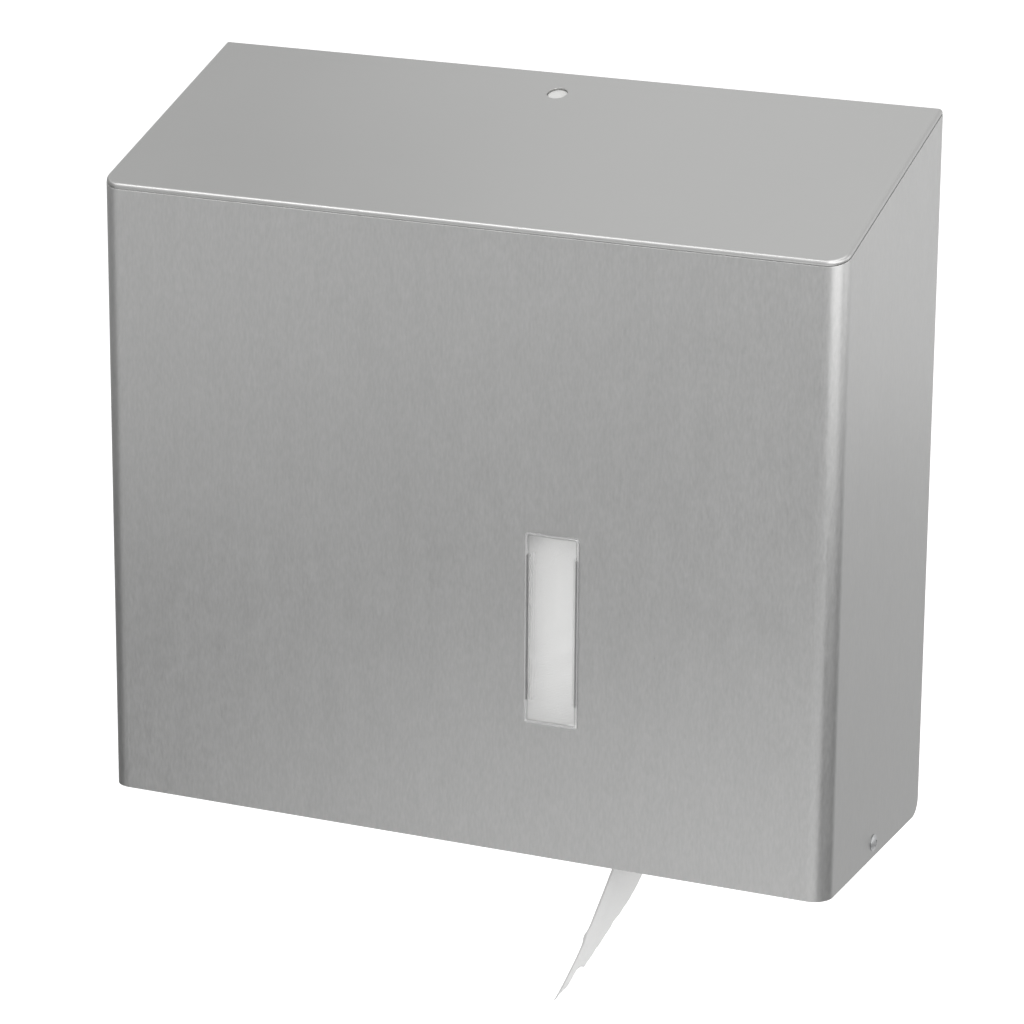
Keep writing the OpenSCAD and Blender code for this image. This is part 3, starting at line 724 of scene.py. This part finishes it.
def tail_path():
    """Places (x, z, angle) down the tissue from the tangent point on the roll."""
    radius = ROLL_RADIUS + TAIL_GAP
    x = radius * math.cos(TAIL_LEAN)
    z = SPINDLE_Z - radius * math.sin(TAIL_LEAN)
    places = [(x, z, TAIL_LEAN)]
    run = 0.0
    while run < TAIL_LENGTH:
        a = TAIL_LEAN + (TAIL_CURLED - TAIL_LEAN) * max(0.0, run - TAIL_STRAIGHT) / TAIL_CURL
        x -= TAIL_STEP * math.sin(a)
        z -= TAIL_STEP * math.cos(a)
        run += TAIL_STEP
        places.append((x, z, a))
    return places


def torn_height(across):
    """Height of the torn edge at a distance across the tissue, in metres."""
    mm = across * 1000
    for (a, low), (b, high) in zip(TAIL_TEAR, TAIL_TEAR[1:]):
        if mm <= b:
            return FOOT_Z + (low + (high - low) * (mm - a) / (b - a)) / 1000
    return FOOT_Z + TAIL_TEAR[-1][1] / 1000


def torn_length(path, across):
    """Length of the tissue from the tangent point to its ragged edge."""
    coarse_rag = 0.0012
    fine_rag = 0.0006
    goal = torn_height(across)
    end = next((k for k, place in enumerate(path) if place[1] <= goal), len(path) - 1)
    rag = coarse_rag * noise.noise(Vector((across * 260, 3.0, 0.0)))
    rag += fine_rag * noise.noise(Vector((across * 900, 7.0, 0.0)))
    return min(end * TAIL_STEP + rag, (len(path) - 1) * TAIL_STEP)


def laid_on_roll(run):
    """Place (x, z) of the tissue above the tangent point, where run is less than nothing."""
    radius = ROLL_RADIUS + TAIL_GAP / 2 * (1 + run / TAIL_BACK) + TAIL_GAP / 2
    a = -TAIL_LEAN - run / radius
    return radius * math.cos(a), SPINDLE_Z + radius * math.sin(a)


def hung_free(path, run):
    """Place (x, z) of the tissue below the tangent point, and the direction of its outer face."""
    at = min(run / TAIL_STEP, len(path) - 1.001)
    k = int(at)
    part = at - k
    x = path[k][0] * (1 - part) + path[k + 1][0] * part
    z = path[k][1] * (1 - part) + path[k + 1][1] * part
    lean = path[k][2]
    return x, z, Vector((math.cos(lean), 0, -math.sin(lean)))


def tail_sway(across, run):
    """How far ripples and creases push the tissue out, and the nick at its front edge in."""
    sway_start = 0.03
    sway_grows = 0.12
    ripple_depth = 0.0009
    crease_depth = 0.0005
    nick_depth = 0.0009
    nick_spread = 0.0028
    free = min(1.0, max(0.0, run - sway_start) / sway_grows)
    ripple = ripple_depth * noise.noise(Vector((across * 22, run * 9, 1.7)))
    crease = crease_depth * noise.noise(Vector((across * 75, run * 26, 5.1)))
    edge = max(0.0, (across - 0.9 * TAIL_WIDTH) / (0.1 * TAIL_WIDTH))
    nick = nick_depth * edge * math.exp(-(((run - TAIL_NICK) / nick_spread) ** 2))
    return free * (ripple + crease) - nick


def tail_point(path, across, run):
    """A point of the sheet, by its distances across and along it."""
    y = TAIL_REAR - across
    if run < 0:
        x, z = laid_on_roll(run)
        return x, y, z
    x, z, side = hung_free(path, run)
    return tuple(Vector((x, y, z)) + side * tail_sway(across, run))


def make_tail():
    """The free end: it follows the roll a little, hangs, curls and ends in a slanting tear."""
    path = tail_path()
    columns = 130
    rows = 110
    points = []
    for i in range(columns + 1):
        across = TAIL_WIDTH * i / columns
        length = torn_length(path, across) + TAIL_BACK
        for j in range(rows + 1):
            points.append(tail_point(path, across, length * j / rows - TAIL_BACK))
    faces = []
    for i in range(columns):
        for j in range(rows):
            a = i * (rows + 1) + j
            faces.append((a, a + 1, a + rows + 2, a + rows + 1))
    sheet = tissue(
        "tissue_sheet",
        (0.78, 0.78, 0.775),
        (350, 350, 2600),
        0.00006,
        middle=TAIL_REAR - TAIL_WIDTH / 2,
        half=TAIL_WIDTH / 2,
    )
    tail = new_piece("tissue_tail", points, faces, [sheet])
    thick = tail.modifiers.new("two_plies", "SOLIDIFY")
    thick.thickness = 0.00016
    thick.offset = 0
    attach(tail, "wall_unit")
    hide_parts("paper_tail")
    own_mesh(tail)


# ---- Studio ----


def emptied(holder):
    """The node tree of a material or a world, with nothing in it."""
    holder.use_nodes = True
    holder.node_tree.nodes.clear()
    return holder.node_tree


def even_sky(tree, level):
    """A plain white background of a level."""
    return add_node(
        tree, "ShaderNodeBackground", {"Color": (1, 1, 1, 1), "Strength": level}
    ).outputs[0]


def make_world():
    """Even soft light, and plain white wherever the camera, a gloss or a clear piece looks."""
    world = bpy.data.worlds.new("studio")
    bpy.context.scene.world = world
    tree = emptied(world)
    ray = add_node(tree, "ShaderNodeLightPath").outputs
    looked_at = maths(tree, "MAXIMUM", ray["Is Glossy Ray"], ray["Is Transmission Ray"])
    looked_at = maths(tree, "MAXIMUM", ray["Is Camera Ray"], looked_at)
    light = even_sky(tree, 0.65)
    white = even_sky(tree, 1.0)
    mixed = add_node(tree, "ShaderNodeMixShader", {0: looked_at, 1: light, 2: white}).outputs[0]
    add_node(tree, "ShaderNodeOutputWorld", {"Surface": mixed})


def make_floor():
    """A wide pale floor well below the box. It reads white and keeps the shadow."""
    half = 14
    level = -1.0
    corners = [(x * half, y * half, level) for x, y in ((-1, -1), (1, -1), (1, 1), (-1, 1))]
    paper = bpy.data.materials.new("floor_paper")
    tree = emptied(paper)
    ray = add_node(tree, "ShaderNodeLightPath").outputs
    clear = maths(tree, "MAXIMUM", ray["Is Camera Ray"], ray["Is Transmission Ray"])
    strength = blend(tree, clear, 0.6, ray["Is Glossy Ray"], 0.35)
    matt = add_node(tree, "ShaderNodeBsdfDiffuse", {"Color": (0.88, 0.88, 0.88, 1)}).outputs[0]
    glow = add_node(
        tree, "ShaderNodeEmission", {"Color": (1, 1, 1, 1), "Strength": strength}
    ).outputs[0]
    both = add_node(tree, "ShaderNodeAddShader", {0: matt, 1: glow}).outputs[0]
    add_node(tree, "ShaderNodeOutputMaterial", {"Surface": both})
    new_mesh("floor", corners, [(0, 1, 2, 3)], [paper])


# Cards: name, centre, facing, width, height, level
CARDS = [
    ("card_left", (-1.3, -0.2, 0.2), (1, 0, 0), 1.8, 1.1, 0.47),
    ("card_low_left", (-1.3, -0.2, -0.65), (1, 0, 0), 1.8, 0.6, 0.26),
    ("card_near_front", (0.52, -1.22, -0.36), (-0.3, 1, 0), 0.42, 0.26, 0.55),
    ("card_near_mid", (0.93, -0.76, -0.375), (-1, 0.3, 0), 0.54, 0.25, 0.2),
    ("card_near_low", (0.93, -0.76, -0.785), (-1, 0.3, 0), 0.54, 0.57, 0.55),
    ("card_low_mid", (1.09, -0.25, -0.66), (-1, 0.3, 0), 0.52, 0.82, 0.45),
    ("card_low_right", (1.33, 0.56, -0.66), (-1, 0.3, 0), 1.14, 0.82, 0.37),
    ("card_low_side", (1.3, 0.95, -0.72), (-1, -0.7, 0), 0.5, 0.56, 0.3),
    ("card_side_right", (1.4, 0.45, 0.12), (-1, -0.25, 0), 0.8, 0.7, 2.2),
    ("card_rear_right", (0.8, 1.25, 0.1), (-0.4, -1, 0), 1.2, 0.9, 1.06),
    ("card_rear_low", (0.76, 1.25, -0.68), (-0.4, -1, 0), 1.2, 0.6, 0.79),
    ("card_over_rim", (-0.72, -0.95, 1.3), (0.45, 0.55, -0.85), 0.8, 0.6, 4.5),
    ("card_over_corner", (0.72, -0.08, 1.2), (-0.45, -0.04, -0.89), 0.45, 0.45, 2.8),
    ("card_front_low", (-0.33, -1.5, -0.74), (0.3, 1, 0.3), 0.9, 0.34, 1.2),
    ("card_front_mid", (-0.12, -1.5, -0.44), (0.3, 1, 0.3), 1.0, 0.22, 0.58),
    ("card_front_corner", (-0.88, -1.37, -0.74), (0.5, 1, 0.3), 0.66, 0.46, 0.15),
    ("card_over_left", (-1.0, 0.75, 1.3), (0.4, -0.5, -0.8), 0.8, 0.9, 0.78),
    ("card_over_right", (-0.15, 0.75, 1.3), (0.4, -0.5, -0.8), 0.8, 0.9, 1.12),
]


def add_card(name, centre, facing, width, height, level):
    """A glowing card outside the picture. The steel reflects it and it lights the pieces."""
    out = Vector(facing).normalized()
    across = out.cross(Vector((0, 0, 1))).normalized() * width / 2
    up = across.cross(out).normalized() * height / 2
    middle = Vector(centre)
    signs = ((-1, -1), (1, -1), (1, 1), (-1, 1))
    corners = [tuple(middle + sx * across + sz * up) for sx, sz in signs]
    surface = bpy.data.materials.new(name)
    tree = emptied(surface)
    glow = add_node(
        tree, "ShaderNodeEmission", {"Color": (level, level, level, 1), "Strength": 1.0}
    ).outputs[0]
    add_node(tree, "ShaderNodeOutputMaterial", {"Surface": glow})
    card = new_mesh(name, corners, [(0, 1, 2, 3)], [surface])
    card.visible_camera = False
    card.visible_shadow = False


def add_lamp(name, place, aim, width, height, power):
    """A flat lamp of a width and height, turned to its aim."""
    lamp = bpy.data.lights.new(name, "AREA")
    lamp.shape = "RECTANGLE"
    lamp.size = width
    lamp.size_y = height
    lamp.energy = power
    lit = bpy.data.objects.new(name, lamp)
    lit.location = place
    lit.rotation_mode = "QUATERNION"
    lit.rotation_quaternion = (Vector(aim) - Vector(place)).to_track_quat("-Z", "Y")
    bpy.context.scene.collection.objects.link(lit)
    return lit


def light_through_window():
    """The studio's light that the clear insert lets in. It goes where the cover goes."""
    low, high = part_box("window_insert")
    to_left = 0.012
    behind = 0.0004
    middle = (Vector(low) + Vector(high)) / 2
    place = Vector((middle.x - to_left, high[1] + behind, middle.z))
    inwards = place + Vector((0, 1, 0))
    lamp = add_lamp("window_light", place, inwards, width=0.080, height=0.150, power=0.0068)
    lamp.visible_glossy = False
    lamp.visible_transmission = False
    bpy.context.view_layer.update()
    stand = lamp.matrix_world.copy()
    lamp.parent = nodes["window_insert"]
    lamp.matrix_world = stand


def make_studio():
    """World, floor, cards and lamps."""
    make_world()
    make_floor()
    for card in CARDS:
        add_card(*card)
    add_lamp("key", (1.15, -0.85, 0.22), (0.1, -0.1, 0.05), width=1.4, height=0.96, power=6.9)
    add_lamp("fill", (0.9, -2.6, 1.3), (0, 0, 0), width=1.5, height=1.2, power=18)
    add_lamp("overhead", (0.5, -1.1, 2.2), (0, 0, 0), width=1.6, height=1.2, power=14)
    light_through_window()


add_camera()
dress_hardware()
make_catch_boss()
make_spring()
make_roll()
make_tail()
make_studio()
bpy.context.scene.view_settings.view_transform = "Standard"
